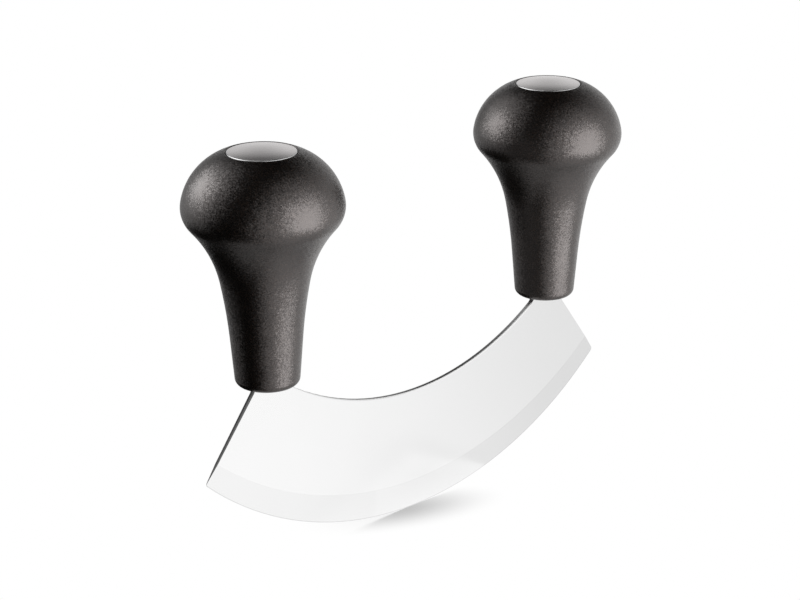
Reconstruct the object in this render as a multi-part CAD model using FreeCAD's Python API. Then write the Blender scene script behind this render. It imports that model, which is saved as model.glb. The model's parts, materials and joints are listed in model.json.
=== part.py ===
import FreeCAD, Part
import math
import os

# Mezzaluna: one rocking blade with a tang at each end, and a moulded knob handle drawn down on
# each tang by a nut that sits in a pocket under a steel disc.
# X runs along the blade, Y across its thickness and Z up to the handles, in millimetres.
# The origin is the lowest point of the cutting edge.

# Blade outline, seen square to its face
blade_length = 150.7          # from corner to corner of the tips, which comes to 150 once they are blunted
blade_width = 36.5            # cutting edge to spine, at the middle
edge_radius = 111.0           # arc of the cutting edge, which rocks on the board
tip_round = 1.0               # blunted corners at the two tips

# Blade section, seen from its end
plate_thickness = 1.8         # rolled sheet, left whole in the tangs
shoulder_thickness = 1.1      # where the ground bevel starts
edge_thickness = 0.08         # land that is left at the sharp edge
bevel_height = 8.6            # straight up from the edge, so the bevel narrows where the edge rises
grind_runout = 9.5            # the long taper runs out this far above the spine's lowest point
spine_round = 0.25            # eased edges of the spine

# Tangs, which stand up from the blade's two ends
tang_width = 10.0             # at the root
tang_tip_width = 6.0
tang_length = 28.0            # inside the handle
root_round = 3.0              # inner corners where the blade turns up into a tang
root_drop = 1.0               # those corners lie this far below the handle

# Handles
handle_inset = 22.0           # from each tip's corner in to the handle's axis
handle_bottom = 53.0          # above the cutting edge's lowest point
handle_height = 64.4          # foot to the lip around the disc
foot_diameter = 17.7
foot_round = 1.8
knob_diameter = 43.3
lip_width = 0.5               # flat ring of plastic around the disc
lip_chamfer = 0.25

# Handle outline: a straight stem, then arcs that run into each other, up to the lip.
# The joints are shares of the height, and of the swell from the foot to the knob.
joint_height_shares = [0.21, 0.453, 0.691, 0.793]
joint_swell_shares = [0.076, 0.246, 0.844, 0.991]

# Stud, forked over the tang's tip and welded there
stud_diameter = 6.0
fork_depth = 10.0
stud_end = 2.0                # stands this far out of the nut
stud_chamfer = 0.6

# Washer and nut in the pocket
seat_web = 8.0                # solid plastic between the tang's tip and the washer
washer_diameter = 12.0
washer_thickness = 1.6
nut_flats = 10.0
nut_height = 5.0
nut_chamfer = 0.5
pocket_diameter = 15.0        # lets a socket spanner in

# Domed disc that closes the pocket
cap_diameter = 18.6
cap_thickness = 1.6           # at its rim
cap_stand = 0.05              # rim's height above the lip
cap_crown = 0.5               # dome's height above the rim
cap_round = 0.25              # rounded edge of its rim
spigot_depth = 4.0
spigot_wall = 1.2

# Clearances
tang_clearance = 0.15         # blade in the handle's slot
fork_clearance = 0.03         # tang in the stud's fork
stud_clearance = 0.2          # stud in the handle and in the washer
thread_clearance = 0.02       # stud in the nut
cap_clearance = 0.15          # dark ring that shows around the disc
spigot_clearance = 0.05       # disc's spigot in the pocket
overrun = 1.0                 # tools run this far past what they cut
offset_tolerance = 0.001      # of the tang's outline, grown by its clearance
same_share = 1e-6             # two lengths that differ by a smaller share are the same

# Levels and radii that follow from those sizes
handle_x = blade_length / 2 - handle_inset
handle_top = handle_bottom + handle_height
foot_radius = foot_diameter / 2
knob_radius = knob_diameter / 2
tip_height = edge_radius - math.sqrt(edge_radius ** 2 - (blade_length / 2) ** 2)
root_level = handle_bottom - root_drop
tang_top = handle_bottom + tang_length
pocket_floor = tang_top + seat_web
nut_seat = pocket_floor + washer_thickness
stud_top = nut_seat + nut_height + stud_end
cap_rim = handle_top + cap_stand
cap_top = cap_rim + cap_crown
recess_floor = cap_rim - cap_thickness
stud_radius = stud_diameter / 2
cap_radius = cap_diameter / 2
pocket_radius = pocket_diameter / 2
recess_radius = cap_radius + cap_clearance
lip_radius = recess_radius + lip_width
tang_inner = handle_x - tang_width / 2
tang_outer = handle_x + tang_width / 2

ALONG = FreeCAD.Vector(1, 0, 0)
ACROSS = FreeCAD.Vector(0, 1, 0)
UP = FreeCAD.Vector(0, 0, 1)


def point(x, y, z):
    return FreeCAD.Vector(x, y, z)


def same(one, other):
    return math.isclose(one, other, rel_tol=same_share)


def lines(points):
    """Straight edges from point to point."""
    return [Part.makeLine(start, end) for start, end in zip(points, points[1:])]


def turned(edges):
    """Solid of revolution about Z from the edges of a closed section."""
    return Part.Face(Part.Wire(edges)).revolve(point(0, 0, 0), UP, 360)


def round_bar(radius, low, high):
    return Part.makeCylinder(radius, high - low, point(0, 0, low), UP)


def edges_at(shape, radius, level):
    """Circular edges of a turned shape at one radius and height."""
    found = []
    for edge in shape.Edges:
        if isinstance(edge.Curve, Part.Circle):
            if same(edge.Curve.Radius, radius) and same(edge.Curve.Center.z, level):
                found.append(edge)
    return found


def tangent_arcs(points, heading):
    """Arcs from point to point, each setting off in the direction in which the last one ended."""
    arcs = []
    for start, end in zip(points, points[1:]):
        chord = end - start
        along = FreeCAD.Vector(chord).normalize()
        reach = heading.dot(along)
        bulge = heading - along * reach
        middle = (start + end) / 2 + bulge * (chord.Length / 2 / (1 + reach))
        arcs.append(Part.Arc(start, middle, end).toShape())
        heading = along * (2 * reach) - heading
    return arcs


def spine_arc():
    ends = [point(x, 0, root_level) for x in (-tang_inner, tang_inner)]
    return Part.Arc(ends[0], point(0, 0, blade_width), ends[1]).toShape()


def blade_outline():
    """Face of the blade square to its thickness, from the cutting edge up to the tangs' tips."""
    tip_x = blade_length / 2
    half_tip = tang_tip_width / 2
    right = [
        point(tang_inner, 0, root_level),
        point(handle_x - half_tip, 0, tang_top),
        point(handle_x + half_tip, 0, tang_top),
        point(tang_outer, 0, root_level),
        point(tip_x, 0, tip_height),
    ]
    left = [point(-corner.x, 0, corner.z) for corner in reversed(right)]
    edge = Part.Arc(right[-1], point(0, 0, 0), left[0]).toShape()
    return Part.Face(Part.Wire(lines(right) + [edge] + lines(left) + [spine_arc()]))


def corners_at(slab, level):
    """Edges across the slab's thickness whose ends both lie at one height."""
    corners = []
    for edge in slab.Edges:
        if isinstance(edge.Curve, Part.Line):
            if all(same(vertex.Z, level) for vertex in edge.Vertexes):
                corners.append(edge)
    return corners


def outline_slab(thickness):
    """The outline at one thickness, with rounded tips and tang roots."""
    face = blade_outline()
    face.translate(ACROSS * (-thickness / 2))
    slab = face.extrude(ACROSS * thickness)
    slab = slab.makeFillet(tip_round, corners_at(slab, tip_height))
    return slab.makeFillet(root_round, corners_at(slab, root_level))


def edge_arc(y, rise):
    """The cutting edge's arc, run out past the tips, moved to one side and straight up."""
    reach = blade_length / 2 + overrun
    ends = edge_radius - math.sqrt(edge_radius ** 2 - reach ** 2) + rise
    return Part.Arc(point(-reach, y, ends), point(0, y, rise), point(reach, y, ends)).toShape()


def ground_body():
    """Bevels and long taper that the grinding leaves. Each line on them is the edge's arc, moved up."""
    half_shoulder = shoulder_thickness / 2
    runout = blade_width + grind_runout
    lean = (plate_thickness / 2 - half_shoulder) / (runout - bevel_height)
    half_top = half_shoulder + lean * (tang_top - bevel_height)
    half = [(edge_thickness / 2, 0), (half_shoulder, bevel_height), (half_top, tang_top)]
    section = half + [(-y, rise) for y, rise in reversed(half)]
    arcs = [edge_arc(y, rise) for y, rise in section]
    faces = []
    for arc, next_arc in zip(arcs, arcs[1:] + arcs[:1]):
        faces.append(arc.extrude(next_arc.Vertexes[0].Point - arc.Vertexes[0].Point))
    for end in range(2):
        corners = [arc.Vertexes[end].Point for arc in arcs]
        faces.append(Part.Face(Part.makePolygon(corners + corners[:1])))
    return Part.Solid(Part.Shell(faces))


def eased_spine(blade):
    """Round off the spine's two long edges, and the tangs' inner edges that follow on."""
    radius = spine_arc().Curve.Radius
    edges = []
    for face in blade.Faces:
        if isinstance(face.Surface, Part.Cylinder) and same(face.Surface.Radius, radius):
            edges += [edge for edge in face.Edges if not isinstance(edge.Curve, Part.Line)]
    return blade.makeFillet(spine_round, edges)


def make_blade():
    return eased_spine(outline_slab(plate_thickness).common(ground_body()))


def handle_form():
    """Outside of a handle, standing on the origin."""
    swell = knob_radius - foot_radius
    joints = [point(foot_radius, 0, foot_round)]
    for height_share, swell_share in zip(joint_height_shares, joint_swell_shares):
        joints.append(point(foot_radius + swell * swell_share, 0, handle_height * height_share))
    joints.append(point(lip_radius, 0, handle_height))
    stem = joints[1] - joints[0]
    lean = math.atan2(stem.x, stem.z)
    foot_edge = point(foot_radius - foot_round / math.tan(math.pi / 4 - lean / 2), 0, 0)
    bottom = point(0, 0, 0)
    top = point(0, 0, handle_height)
    section = lines([bottom, foot_edge])
    section += tangent_arcs([foot_edge, joints[0]], ALONG)
    section += lines(joints[:2])
    section += tangent_arcs(joints[1:], stem.normalize())
    section += lines([joints[-1], top, bottom])
    return turned(section)


def handle_hollow():
    """Recess for the disc, pocket for the nut and bore for the stud, on one axis."""
    bore_bottom = tang_top - fork_depth - stud_clearance
    hollow = round_bar(recess_radius, recess_floor, handle_top + overrun)
    hollow = hollow.fuse(round_bar(pocket_radius, pocket_floor, recess_floor + overrun))
    return hollow.fuse(round_bar(stud_radius + stud_clearance, bore_bottom, pocket_floor + overrun))


def tang_slot():
    """Space for both tangs: the blade's own outline, grown by the clearance."""
    return outline_slab(plate_thickness).makeOffsetShape(tang_clearance, offset_tolerance, join=2)


def make_handle(sign):
    body = handle_form()
    body.translate(UP * handle_bottom)
    body = body.cut(handle_hollow())
    body = body.makeChamfer(lip_chamfer, edges_at(body, recess_radius, handle_top))
    body.translate(ALONG * (sign * handle_x))
    return body.cut(tang_slot())


def make_stud():
    bottom = tang_top - fork_depth
    bar = round_bar(stud_radius, bottom, stud_top)
    bar = bar.makeChamfer(stud_chamfer, edges_at(bar, stud_radius, stud_top))
    gap = plate_thickness + 2 * fork_clearance
    slot = Part.makeBox(
        stud_diameter + 2 * overrun,
        gap,
        fork_depth + overrun,
        point(-stud_radius - overrun, -gap / 2, bottom - overrun),
    )
    return bar.cut(slot)


def make_washer():
    ring = round_bar(washer_diameter / 2, pocket_floor, nut_seat)
    hole = round_bar(stud_radius + stud_clearance, pocket_floor - overrun, nut_seat + overrun)
    return ring.cut(hole)


def make_nut():
    corner_radius = nut_flats / 2 / math.cos(math.pi / 6)
    corners = []
    for step in range(6):
        angle = step * math.pi / 3
        corners.append(point(corner_radius * math.cos(angle), corner_radius * math.sin(angle), nut_seat))
    hexagon = Part.Face(Part.makePolygon(corners + corners[:1])).extrude(UP * nut_height)
    top = nut_seat + nut_height
    blank = turned(lines([
        point(0, 0, nut_seat),
        point(corner_radius - nut_chamfer, 0, nut_seat),
        point(corner_radius, 0, nut_seat + nut_chamfer),
        point(corner_radius, 0, top - nut_chamfer),
        point(corner_radius - nut_chamfer, 0, top),
        point(0, 0, top),
        point(0, 0, nut_seat),
    ]))
    hole = round_bar(stud_radius + thread_clearance, nut_seat - overrun, top + overrun)
    return hexagon.common(blank).cut(hole)


def make_cap():
    """Domed disc with a rounded rim, and a ring below it that plugs the pocket."""
    spigot_radius = pocket_radius - spigot_clearance
    spigot_bottom = recess_floor - spigot_depth
    crown = point(0, 0, cap_top)
    rim = point(cap_radius - cap_round, 0, cap_rim)
    side = point(cap_radius, 0, cap_rim - cap_round)
    under = [
        side,
        point(cap_radius, 0, recess_floor),
        point(spigot_radius, 0, recess_floor),
        point(spigot_radius, 0, spigot_bottom),
        point(spigot_radius - spigot_wall, 0, spigot_bottom),
        point(spigot_radius - spigot_wall, 0, recess_floor),
        point(0, 0, recess_floor),
        crown,
    ]
    return turned(tangent_arcs([crown, rim, side], ALONG) + lines(under))


def save(name, shape):
    solids = shape.Solids
    if len(solids) != 1 or not solids[0].isValid():
        raise ValueError(f"{name} is not one valid solid")
    solids[0].exportStep(os.path.join("parts", name + ".step"))


os.makedirs("parts", exist_ok=True)
save("blade", make_blade())
for side, sign in (("left", -1), ("right", 1)):
    save(side + "_handle", make_handle(sign))
    for name, make in (
        ("tang_stud", make_stud),
        ("washer", make_washer),
        ("nut", make_nut),
        ("cap", make_cap),
    ):
        piece = make()
        piece.translate(ALONG * (sign * handle_x))
        save(side + "_" + name, piece)
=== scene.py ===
import json
import math

import bpy
from mathutils import Matrix, Vector

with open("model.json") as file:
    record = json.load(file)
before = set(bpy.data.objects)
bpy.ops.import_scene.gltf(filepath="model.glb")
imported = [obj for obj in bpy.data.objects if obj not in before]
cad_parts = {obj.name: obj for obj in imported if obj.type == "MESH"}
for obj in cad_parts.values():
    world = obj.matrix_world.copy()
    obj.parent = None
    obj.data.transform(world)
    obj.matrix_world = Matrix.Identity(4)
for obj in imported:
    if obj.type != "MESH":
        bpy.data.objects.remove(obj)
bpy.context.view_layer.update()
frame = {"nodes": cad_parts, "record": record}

# Mezzaluna: finishes of the ground blade, the moulded handles and the metal discs, on a white floor.
# Lengths are in metres and angles in degrees, in the frame of the model: X along the blade, Z up.
# A span is where a smooth change starts and where it ends.

# Camera, set up like the photograph's
camera_place = (-0.38640, -0.41823, 0.26677)
camera_yaw = 42.351                 # to the right of +Y
camera_pitch = 19.634               # down
camera_roll = -0.235
camera_lens_mm = 96.20
camera_sensor_mm = 36.0
camera_nearest = 0.01               # nothing nearer is drawn

# Plastic of the handles
grain_size = 0.00026                # facets of the moulded grain
grain_lean = 0.20                   # of the facets, at random
# The dark facets are the plastic's own colour; the pale ones are painted glints, chosen at random.
dark_facet = (0.0006, 0.0002, 0.0001, 1.0)
glint_facet = (0.026, 0.016, 0.011, 1.0)
glint_rarity = 4.0                   # a higher power leaves fewer facets pale
plastic_cloud_size = 0.012
plastic_cloud_span = (0.3, 0.7)
plastic_roughness = (0.35, 0.31)    # between the clouds and in them
plastic_specular = 1.0
plastic_specular_tint = (1.0, 0.92, 0.90, 1.0)

# Steel of the blade
edge_radius = 0.111                 # arc of the cutting edge, about a centre straight above the origin
bevel_height = 0.0086               # straight up from the edge
bevel_blend = 0.0001                # to each side of the line where the bevel starts
edge_shadow_height = (0.00035, 0.00010)   # above the edge, where the painted shadow line along the edge starts and where it is full
side_span = (0.35, 0.80)            # how squarely a surface faces the front or the back to be a side
end_span = (0.62, 0.70)             # how squarely it faces left or right to be an end
eased_span = (-0.00045, -0.00020)   # in Y, from the spine's eased front edge to its middle
end_shade_span = (-0.0005, 0.0006)  # in Y, from the front of an end to its back
face_grey = 0.975
bevel_grey = 0.93
# Painted shadow line along the cutting edge:
edge_shadow_grey = 0.76
# The spine's back is darker, partly its blanked finish and partly painted shade; its eased front edge is
# paler, a painted highlight.
spine_grey = 0.50
eased_highlight_grey = 0.95
eased_lean = 1.2                    # of the eased edge towards the front
end_shade_greys = (0.21, 0.045)           # at the front and at the back; the ends' darkness is partly their blanked finish and partly painted shade, darker towards the back
face_roughness = 0.20
bevel_roughness = 0.24
blanked_roughness = 0.50            # on the spine and the ends
blade_cloud_size = 0.02
blade_cloud_roughness = 0.06
line_width = 0.00012                # grinding lines
line_stretch = 100.0                # their length, in widths
line_depth = 0.0000015
fine_detail = 3.0                   # of the noise in lines, rings and machined steel

# Steel of the discs, with places in shares of their radius
rim_span = (0.970, 0.976)           # from the satin face to the polished rim
# The face is painted paler towards the rim, a painted reflection:
sheen_span = (0.05, 0.85)
disc_middle_colour = (0.72, 0.69, 0.685, 1.0)
disc_sheen_colour = (0.95, 0.915, 0.91, 1.0)
rim_grey = 0.95
disc_roughness = 0.22
rim_roughness = 0.20
ring_width = 0.012
ring_depth = 0.000001               # in metres

# Steel of the hidden fasteners
fastener_cloud_size = 0.002
fastener_greys = (0.50, 0.66)
fastener_roughness = (0.30, 0.45)

# Floor: a patch around the place where the tool stands, as white as the surroundings, that carries an oval
# of shadow
floor_size = (0.078, 0.030)
floor_grey = 0.8
floor_roughness = 0.9
floor_glow = 0.50                   # brightness that is left in the deepest shadow
shadow_centre = (-0.0055, 0.0003)
shadow_reach = (0.0345, 0.0140)     # it fades out this far from its centre, along it and across it
shadow_turn = -22.0                 # from the blade's line, seen from above
mirror_span = (0.055, 0.070)        # over this distance, what a surface mirrors of the floor gets dimmer
mirror_far = 0.4                    # brightness of the floor from further away

# Lamps: soft ones at the front right and the back left light the handles, and a faint one at the left fills
# the dark side of the right handle. A wide one overhead is for the floor, and a dim one there for the discs.
front_light = {"place": (0.29, -0.78, 0.04), "size": (0.86, 1.00), "watts": 8.8}
back_light = {"place": (-0.205, 0.336, 0.262), "size": (0.24, 0.21), "watts": 0.54}
left_light = {"place": (-0.32, 0.04, 0.03), "size": (0.40, 0.46), "watts": 0.10}
top_light = {"place": (-0.15, 0.35, 0.70), "size": (0.80, 0.80), "watts": 5.2}
disc_light = {**top_light, "watts": 1.0}
handle_target = (0.0, 0.0, 0.09)
floor_target = (0.0, 0.0, 0.0)

# Pale screens around the lamps and behind the tool, which the blade, the discs and the handles mirror. The
# middle of a screen is so far to the side and up, seen from the tool: 0 is the front, -Y, and 90 the right,
# +X. From there, the screen ends at the first angle and is full within the second. Spans are in X or Z of a
# direction of length 1.
front_screen = {"middle": (22.0, -8.0), "fade": (84.0, 46.0)}
right_screen = {"middle": (80.0, 3.0), "fade": (55.0, 15.0)}
back_screen = {"middle": (-150.0, 25.0), "fade": (47.0, 22.0)}
back_wall = {"middle": (-172.0, 0.0), "fade": (54.0, 37.0)}
backdrop = {"middle": (103.0, 0.0), "fade": (72.5, 31.8)}
strip_left_span = (0.58, 0.72)      # dimmer strip on the right of the front screen
strip_right_span = (0.76, 0.90)
strip_dimming = 0.27
right_bright = 0.55
wall_bottom_span = (-0.52, -0.34)
wall_top_span = (-0.12, 0.05)
wall_bright = 0.50
backdrop_middle_span = (-0.05, 0.06)
backdrop_top_span = (0.275, 0.475)
backdrop_upper_bright = 0.67
ground_span = (-1.0, -0.84)         # straight below the tool
ground_bright = 0.42
room_bright = 0.006                 # where there is no screen


def fill(tree, node, **settings):
    """Settings that name an input of the node fill it or link to it, and others are its properties."""
    for name, value in settings.items():
        if hasattr(node, name):
            setattr(node, name, value)
            continue
        socket = node.inputs[int(name[1:]) if name[1:].isdigit() else name.replace("_", " ")]
        if isinstance(value, bpy.types.NodeSocket):
            tree.links.new(value, socket)
        else:
            socket.default_value = value
    return node


def add_node(tree, kind, **settings):
    return fill(tree, tree.nodes.new(kind), **settings)


def calculate(tree, operation, *values):
    """Number from an operation on numbers."""
    inputs = {f"i{index}": value for index, value in enumerate(values)}
    return add_node(tree, "ShaderNodeMath", operation=operation, **inputs).outputs[0]


def chain(tree, operation, result, *values):
    """The same operation on the first two numbers, then on its result and the third, and so on."""
    for value in values:
        result = calculate(tree, operation, result, value)
    return result


def remainder(tree, value):
    """What is left of 1."""
    return calculate(tree, "SUBTRACT", 1.0, value)


def distance(tree, x, y):
    """Distance from the origin of a plane."""
    squared = calculate(tree, "MULTIPLY_ADD", x, x, calculate(tree, "MULTIPLY", y, y))
    return calculate(tree, "SQRT", squared)


def vector(tree, operation, *values):
    """Vector from an operation on vectors, or a number where it gives one."""
    inputs = {f"i{index}": value for index, value in enumerate(values)}
    node = add_node(tree, "ShaderNodeVectorMath", operation=operation, **inputs)
    return node.outputs["Value" if operation in ("DOT_PRODUCT", "LENGTH") else "Vector"]


def blend(tree, factor, low, high):
    """Number between low and high."""
    node = add_node(tree, "ShaderNodeMix", data_type="FLOAT", i0=factor, i2=low, i3=high)
    return node.outputs[0]


def blend_colour(tree, factor, low, high):
    node = add_node(tree, "ShaderNodeMix", data_type="RGBA", i0=factor, i6=low, i7=high)
    return node.outputs[2]


def ramp(tree, value, span, low=0.0, high=1.0):
    """Smooth change from low to high as the value goes through the span."""
    start, end = span
    node = add_node(tree, "ShaderNodeMapRange", interpolation_type="SMOOTHSTEP", i0=value, i1=start, i2=end)
    return blend(tree, node.outputs[0], low, high)


def noise(tree, place, size, detail=2.0):
    """Noise with features of about that size, around 0.5."""
    return add_node(tree, "ShaderNodeTexNoise", Vector=place, Scale=1 / size, Detail=detail).outputs[0]


def bump(tree, height, depth, **below):
    """Surface normal from a height in shares of the depth, over another normal where one is given."""
    return add_node(tree, "ShaderNodeBump", Height=height, Distance=depth, Strength=1.0, **below).outputs[0]


def grey(value):
    return (value, value, value, 1.0)


def new_material(name):
    material = bpy.data.materials.new(name)
    material.use_nodes = True
    tree = material.node_tree
    tree.nodes.clear()
    shader = tree.nodes.new("ShaderNodeBsdfPrincipled")
    output = tree.nodes.new("ShaderNodeOutputMaterial")
    tree.links.new(shader.outputs[0], output.inputs["Surface"])
    return material, tree, shader


def charcoal_plastic():
    """Black moulded plastic, slightly warm, with the fine grain of a spark-eroded mould and painted glints on
    a few of its facets.
    """
    material, tree, shader = new_material("charcoal_plastic")
    place = add_node(tree, "ShaderNodeTexCoord").outputs["Object"]
    cells = add_node(tree, "ShaderNodeTexVoronoi", Vector=place, Scale=1 / grain_size).outputs
    chance = add_node(tree, "ShaderNodeTexWhiteNoise", Vector=cells["Position"]).outputs["Value"]
    tilt = vector(tree, "SUBTRACT", cells["Color"], (0.5, 0.5, 0.5))
    outward = add_node(tree, "ShaderNodeNewGeometry").outputs["Normal"]
    leaning = vector(tree, "MULTIPLY_ADD", tilt, (grain_lean, grain_lean, grain_lean), outward)
    cloud = noise(tree, place, plastic_cloud_size)
    # Painted glints: a few facets, at random, are paler.
    pale = calculate(tree, "POWER", chance, glint_rarity)
    fill(
        tree,
        shader,
        Base_Color=blend_colour(tree, pale, dark_facet, glint_facet),
        Roughness=ramp(tree, cloud, plastic_cloud_span, *plastic_roughness),
        Normal=vector(tree, "NORMALIZE", leaning),
        Specular_IOR_Level=plastic_specular,
        Specular_Tint=plastic_specular_tint,
    )
    return material


def ground_steel():
    """Satin blade with fine grinding lines towards the edge and a ground bevel, a painted shadow line along
    the cutting edge, spine and ends darker, partly from a blanked finish and partly from painted shade, the
    ends darkest at the back, and a painted highlight on the spine's eased front edge.
    """
    material, tree, shader = new_material("ground_steel")
    coordinates = add_node(tree, "ShaderNodeTexCoord").outputs
    place = add_node(tree, "ShaderNodeSeparateXYZ", Vector=coordinates["Object"]).outputs
    facing = add_node(tree, "ShaderNodeSeparateXYZ", Vector=coordinates["Normal"]).outputs

    # Where a point is: below the centre of the edge's arc, on the bevel, a side, an end or the eased edge
    down = calculate(tree, "SUBTRACT", edge_radius, place["Z"])
    radius = distance(tree, place["X"], down)
    bevel_down = calculate(tree, "SUBTRACT", edge_radius + bevel_height, place["Z"])
    bevel_span = (edge_radius - bevel_blend, edge_radius + bevel_blend)
    bevel = ramp(tree, distance(tree, place["X"], bevel_down), bevel_span)
    # Painted shadow: a grey strip along the cutting edge.
    edge_shadow = ramp(tree, radius, [edge_radius - height for height in edge_shadow_height])
    side = ramp(tree, calculate(tree, "ABSOLUTE", facing["Y"]), side_span)
    end = ramp(tree, calculate(tree, "ABSOLUTE", facing["X"]), end_span)
    eased = ramp(tree, place["Y"], eased_span, 1.0, 0.0)
    end_back = ramp(tree, place["Y"], end_shade_span)

    # Painted highlight on the spine's eased front edge, over its darker back, partly painted shade.
    spine_colour = blend_colour(tree, eased, grey(spine_grey), grey(eased_highlight_grey))
    # Painted shade on the ends, darker towards the back, over their dark blanked finish.
    end_shade_colour = blend_colour(tree, end_back, *map(grey, end_shade_greys))
    blanked_and_shaded_colour = blend_colour(tree, end, spine_colour, end_shade_colour)
    bevel_colour = blend_colour(tree, edge_shadow, grey(bevel_grey), grey(edge_shadow_grey))
    side_colour = blend_colour(tree, bevel, grey(face_grey), bevel_colour)

    cloud = noise(tree, coordinates["Object"], blade_cloud_size)
    unevenness = calculate(tree, "SUBTRACT", cloud, 0.5)
    side_roughness = blend(tree, bevel, face_roughness, bevel_roughness)
    roughness = blend(tree, side, blanked_roughness, side_roughness)

    along = calculate(tree, "MULTIPLY", calculate(tree, "ARCTAN2", place["X"], down), edge_radius)
    stretched = calculate(tree, "MULTIPLY", radius, 1 / line_stretch)
    line_place = add_node(tree, "ShaderNodeCombineXYZ", X=along, Y=stretched, Z=place["Y"]).outputs[0]
    lines = noise(tree, line_place, line_width, detail=fine_detail)
    eased_spine = chain(tree, "MULTIPLY", remainder(tree, side), remainder(tree, end), eased)
    lean = add_node(tree, "ShaderNodeCombineXYZ", Y=calculate(tree, "MULTIPLY", eased_spine, -eased_lean))
    outward = add_node(tree, "ShaderNodeNewGeometry").outputs["Normal"]
    rounded = vector(tree, "NORMALIZE", vector(tree, "ADD", outward, lean.outputs[0]))
    fill(
        tree,
        shader,
        Base_Color=blend_colour(tree, side, blanked_and_shaded_colour, side_colour),
        Roughness=calculate(tree, "MULTIPLY_ADD", unevenness, blade_cloud_roughness, roughness),
        Normal=bump(tree, lines, line_depth, Normal=rounded),
        Metallic=1.0,
    )
    return material


def disc_steel():
    """Satin disc with turned rings and a polished rim, its face paler towards the rim as a painted
    reflection.
    """
    material, tree, shader = new_material("disc_steel")
    generated = add_node(tree, "ShaderNodeTexCoord").outputs["Generated"]
    place = add_node(tree, "ShaderNodeSeparateXYZ", Vector=generated).outputs
    x = calculate(tree, "SUBTRACT", place["X"], 0.5)
    y = calculate(tree, "SUBTRACT", place["Y"], 0.5)
    share = calculate(tree, "MULTIPLY", distance(tree, x, y), 2.0)
    rim = ramp(tree, share, rim_span)
    ring_place = add_node(tree, "ShaderNodeCombineXYZ", X=share).outputs[0]
    rings = noise(tree, ring_place, ring_width, detail=fine_detail)
    # Painted reflection: the face is paler towards the rim.
    face = blend_colour(tree, ramp(tree, share, sheen_span), disc_middle_colour, disc_sheen_colour)
    fill(
        tree,
        shader,
        Base_Color=blend_colour(tree, rim, face, grey(rim_grey)),
        Roughness=blend(tree, rim, disc_roughness, rim_roughness),
        Normal=bump(tree, rings, ring_depth),
        Metallic=1.0,
    )
    return material


def fastener_steel():
    """Plain machined steel of the hidden stud, washer and nut."""
    material, tree, shader = new_material("fastener_steel")
    place = add_node(tree, "ShaderNodeTexCoord").outputs["Object"]
    cloud = noise(tree, place, fastener_cloud_size, detail=fine_detail)
    fill(
        tree,
        shader,
        Base_Color=blend_colour(tree, cloud, *map(grey, fastener_greys)),
        Roughness=blend(tree, cloud, *fastener_roughness),
        Metallic=1.0,
    )
    return material


def dress_nodes():
    """Gives each node the finish of its material slot."""
    finishes = {
        "blade_steel": ground_steel(),
        "handle_plastic": charcoal_plastic(),
        "cap_steel": disc_steel(),
        "fastener_steel": fastener_steel(),
    }
    for part in frame["record"]["subparts"]:
        for slot in frame["nodes"][part["node"]].material_slots:
            slot.material = finishes[part["material_slot"]]
    # The white that the blade mirrors doesn't light the dark plastic
    frame["nodes"]["blade"].visible_diffuse = False


def look_rays(tree):
    """1 for rays that look straight or through glass, 1 for rays that mirror, and the ray's length."""
    path = add_node(tree, "ShaderNodeLightPath").outputs
    straight = calculate(tree, "MAXIMUM", path["Is Camera Ray"], path["Is Transmission Ray"])
    return straight, path["Is Glossy Ray"], path["Ray Length"]


def white_floor():
    """White, with the overhead lamp's light and shadow in an oval. Steel mirrors it without the shadow."""
    material, tree, shader = new_material("white_floor")
    straight, mirrored, length = look_rays(tree)
    place = add_node(tree, "ShaderNodeTexCoord").outputs["Object"]
    share = vector(tree, "LENGTH", vector(tree, "DIVIDE", place, (*shadow_reach, 1.0)))
    shaded = calculate(tree, "MULTIPLY", ramp(tree, share, (0.0, 1.0), 1.0, 0.0), remainder(tree, mirrored))
    seen = calculate(tree, "MAXIMUM", straight, mirrored)
    fill(
        tree,
        shader,
        Base_Color=grey(floor_grey),
        Roughness=floor_roughness,
        Specular_IOR_Level=0.0,
        Emission_Color=grey(1.0),
        Emission_Strength=calculate(tree, "MULTIPLY", seen, floor_glow),
    )
    near = ramp(tree, length, mirror_span, 1.0, mirror_far)
    bright = calculate(tree, "MAXIMUM", straight, calculate(tree, "MULTIPLY", mirrored, near))
    white = add_node(tree, "ShaderNodeEmission", Color=grey(1.0), Strength=bright)
    mixed = add_node(tree, "ShaderNodeMixShader", i0=shaded, i1=white.outputs[0], i2=shader.outputs[0])
    tree.links.new(mixed.outputs[0], tree.get_output_node("ALL").inputs["Surface"])
    return material


def make_floor():
    """Patch of floor under the tool, in line with the shadow."""
    x, y = (size / 2 for size in floor_size)
    mesh = bpy.data.meshes.new("floor")
    mesh.from_pydata([(-x, -y, 0.0), (x, -y, 0.0), (x, y, 0.0), (-x, y, 0.0)], [], [(0, 1, 2, 3)])
    mesh.materials.append(white_floor())
    floor = bpy.data.objects.new("floor", mesh)
    floor.location = (*shadow_centre, 0.0)
    floor.rotation_euler = (0.0, 0.0, math.radians(shadow_turn))
    bpy.context.scene.collection.objects.link(floor)
    return floor


def towards(azimuth, elevation):
    """Direction that far to the side of the front and up."""
    around, up = math.radians(azimuth), math.radians(elevation)
    return (math.sin(around) * math.cos(up), -math.cos(around) * math.cos(up), math.sin(up))


def screen(tree, direction, middle, fade):
    """1 where a direction is near the middle of a screen, fading to 0 away from it."""
    near = vector(tree, "DOT_PRODUCT", direction, towards(*middle))
    return ramp(tree, near, [math.cos(math.radians(angle)) for angle in fade])


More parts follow.
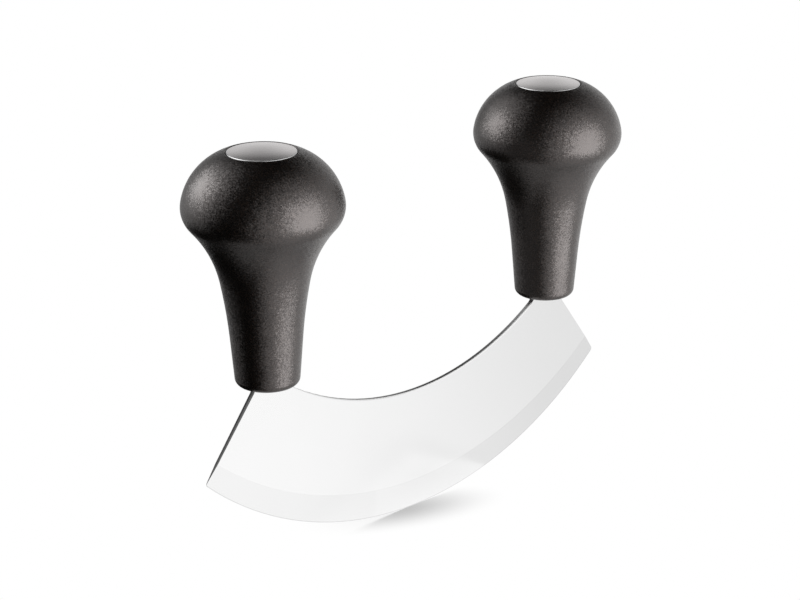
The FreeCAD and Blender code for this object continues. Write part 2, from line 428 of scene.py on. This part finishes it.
def screens(tree):
    """Brightness of the screens, and of the ground far below, in every direction."""
    direction = add_node(tree, "ShaderNodeTexCoord").outputs["Generated"]
    level = vector(tree, "NORMALIZE", vector(tree, "MULTIPLY", direction, (1.0, 1.0, 0.0)))
    heading = add_node(tree, "ShaderNodeSeparateXYZ", Vector=direction).outputs
    strip_left = ramp(tree, heading["X"], strip_left_span, 0.0, strip_dimming)
    strip_right = ramp(tree, heading["X"], strip_right_span, 1.0, 0.0)
    undimmed = remainder(tree, calculate(tree, "MULTIPLY", strip_left, strip_right))
    front = calculate(tree, "MULTIPLY", screen(tree, direction, **front_screen), undimmed)
    right = calculate(tree, "MULTIPLY", screen(tree, direction, **right_screen), right_bright)
    back = screen(tree, direction, **back_screen)
    wall_bottom = ramp(tree, heading["Z"], wall_bottom_span, 0.0, wall_bright)
    wall_top = ramp(tree, heading["Z"], wall_top_span, 1.0, 0.0)
    wall = chain(tree, "MULTIPLY", screen(tree, level, **back_wall), wall_bottom, wall_top)
    backdrop_middle = ramp(tree, heading["Z"], backdrop_middle_span, 1.0, backdrop_upper_bright)
    backdrop_top = ramp(tree, heading["Z"], backdrop_top_span, 1.0, 0.0)
    behind = chain(tree, "MULTIPLY", screen(tree, direction, **backdrop), backdrop_middle, backdrop_top)
    brightest = chain(tree, "MAXIMUM", front, right, back, wall, behind)
    ground = ramp(tree, heading["Z"], ground_span, ground_bright, 0.0)
    return calculate(tree, "ADD", brightest, ground)


def make_world():
    """White surroundings for the camera. What the tool mirrors is a dim room with pale screens in it."""
    world = bpy.data.worlds.new("studio")
    bpy.context.scene.world = world
    world.use_nodes = True
    tree = world.node_tree
    tree.nodes.clear()
    straight, mirrored, _ = look_rays(tree)
    room = blend(tree, calculate(tree, "MULTIPLY", screens(tree), mirrored), room_bright, 1.0)
    light = add_node(tree, "ShaderNodeBackground", Color=grey(1.0), Strength=blend(tree, straight, room, 1.0))
    output = tree.nodes.new("ShaderNodeOutputWorld")
    tree.links.new(light.outputs[0], output.inputs["Surface"])


def make_light(name, lamp, target, pieces, state):
    """Area light that the camera doesn't see, for these pieces alone or for all but them."""
    shape = bpy.data.lights.new(name, "AREA")
    shape.shape = "RECTANGLE"
    shape.size, shape.size_y = lamp["size"]
    shape.energy = lamp["watts"]
    light = bpy.data.objects.new(name, shape)
    light.location = lamp["place"]
    aim = Vector(target) - Vector(lamp["place"])
    light.rotation_euler = aim.to_track_quat("-Z", "Y").to_euler()
    light.visible_camera = False
    bpy.context.scene.collection.objects.link(light)
    chosen = bpy.data.collections.new(name + "_pieces")
    for piece in pieces:
        chosen.objects.link(piece)
    for link in chosen.collection_objects:
        link.light_linking.link_state = state
    light.light_linking.receiver_collection = chosen


def make_lights(floor):
    """Each lamp with the pieces that it leaves out or lights alone. The blade and the discs would turn all
    white in the lamps of the handles, because they already mirror the pale screens."""
    blade = frame["nodes"]["blade"]
    discs = [frame["nodes"]["left_cap"], frame["nodes"]["right_cap"]]
    right_handle = frame["nodes"]["right_handle"]
    make_light("front_light", front_light, handle_target, [floor, blade, *discs], "EXCLUDE")
    make_light("back_light", back_light, handle_target, [floor, blade, *discs], "EXCLUDE")
    make_light("left_light", left_light, handle_target, [right_handle], "INCLUDE")
    make_light("top_light", top_light, floor_target, [floor], "INCLUDE")
    make_light("disc_light", disc_light, floor_target, discs, "INCLUDE")


def make_camera():
    lens = bpy.data.cameras.new("camera")
    lens.lens = camera_lens_mm
    lens.sensor_width = camera_sensor_mm
    lens.clip_start = camera_nearest
    camera = bpy.data.objects.new("camera", lens)
    turn = Matrix.Rotation(math.radians(-camera_yaw), 4, "Z")
    tilt = Matrix.Rotation(math.radians(90 - camera_pitch), 4, "X")
    roll = Matrix.Rotation(math.radians(camera_roll), 4, "Z")
    camera.matrix_world = Matrix.Translation(camera_place) @ turn @ tilt @ roll
    bpy.context.scene.collection.objects.link(camera)
    bpy.context.scene.camera = camera


dress_nodes()
make_lights(make_floor())
make_world()
make_camera()
bpy.context.scene.view_settings.view_transform = "Standard"
